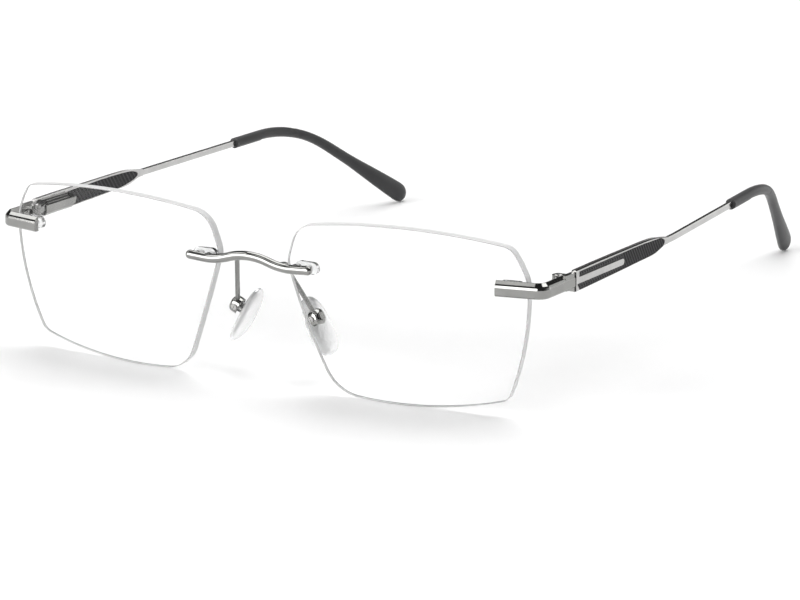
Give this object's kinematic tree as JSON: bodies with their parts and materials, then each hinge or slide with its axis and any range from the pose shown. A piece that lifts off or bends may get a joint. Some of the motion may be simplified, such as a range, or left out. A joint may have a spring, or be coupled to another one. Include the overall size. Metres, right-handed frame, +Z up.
{
  "type": "eyeglasses",
  "caption": "Rimless rectangular eyeglasses with clear lenses on a metal bridge and endpieces, spring-hinged metal temples with black inlays and black tips.",
  "frame": {"origin": "bottom centre of the box round the glasses, lying open on a table on the lens edges and the temple tips", "axes": "+X to the wearer's left, +Y from the lenses back to the temple tips, +Z up"},
  "size_m": [0.1346, 0.1422, 0.0376],
  "materials": {
    "chrome": "polished gunmetal plating",
    "wire_steel": "satin plated wire",
    "screw_steel": "turned steel",
    "spring_steel": "drawn spring wire",
    "lens_clear": "clear coated lens with polished edges",
    "bushing_clear": "clear moulded plastic",
    "pad_silicone": "clear soft silicone",
    "inlay_black": "black ribbed inlay",
    "tip_black": "matt dark sleeve"
  },
  "bodies": {
    "front_frame": {"bridge": "chrome", "left_bridge_bushing": "bushing_clear", "left_endpiece": "chrome", "left_endpiece_bushing": "bushing_clear", "left_hinge_screw": "screw_steel", "left_lens": "lens_clear", "left_pad_arm": "wire_steel", "left_pad_box": "chrome", "left_pad_screw": "screw_steel", "right_bridge_bushing": "bushing_clear", "right_endpiece": "chrome", "right_endpiece_bushing": "bushing_clear", "right_hinge_screw": "screw_steel", "right_lens": "lens_clear", "right_pad_arm": "wire_steel", "right_pad_box": "chrome", "right_pad_screw": "screw_steel"},
    "left_pad": {"left_nose_pad": "pad_silicone"},
    "left_carriage": {"left_hinge_carriage": "wire_steel", "left_flex_spring": "spring_steel", "left_spring_stop": "screw_steel"},
    "left_arm": {"left_spring_box": "chrome", "left_temple": "chrome", "left_outer_inlay": "inlay_black", "left_inner_inlay": "inlay_black", "left_temple_tip": "tip_black"},
    "right_pad": {"right_nose_pad": "pad_silicone"},
    "right_carriage": {"right_hinge_carriage": "wire_steel", "right_flex_spring": "spring_steel", "right_spring_stop": "screw_steel"},
    "right_arm": {"right_spring_box": "chrome", "right_temple": "chrome", "right_outer_inlay": "inlay_black", "right_inner_inlay": "inlay_black", "right_temple_tip": "tip_black"}
  },
  "joints": [
    {"name": "left_temple_fold", "type": "hinge", "parent": "front_frame", "child": "left_carriage", "pos_m": [0.0646, -0.05533, 0.02684], "axis": [0, 0.0456, 0.999], "range_deg": [-3, 86]},
    {"name": "left_flex_slide", "type": "slide", "parent": "left_carriage", "child": "left_arm", "axis": [0, 0.999, -0.0456], "range_m": [0, 0.001], "stiffness_N_per_m": 1500, "deforming": ["left_flex_spring"]},
    {"name": "left_pad_rock", "type": "hinge", "parent": "front_frame", "child": "left_pad", "pos_m": [0.0101, -0.06003, 0.01377], "axis": [0.1204, 0.9927, -0.002], "range_deg": [-8, 8]},
    {"name": "right_temple_fold", "type": "hinge", "parent": "front_frame", "child": "right_carriage", "pos_m": [-0.0646, -0.05533, 0.02684], "axis": [0, -0.0456, -0.999], "range_deg": [-3, 82]},
    {"name": "right_flex_slide", "type": "slide", "parent": "right_carriage", "child": "right_arm", "axis": [0, 0.999, -0.0456], "range_m": [0, 0.001], "stiffness_N_per_m": 1500, "deforming": ["right_flex_spring"]},
    {"name": "right_pad_rock", "type": "hinge", "parent": "front_frame", "child": "right_pad", "pos_m": [-0.0101, -0.06003, 0.01377], "axis": [0.1204, -0.9927, 0.002], "range_deg": [-8, 8]}
  ]
}
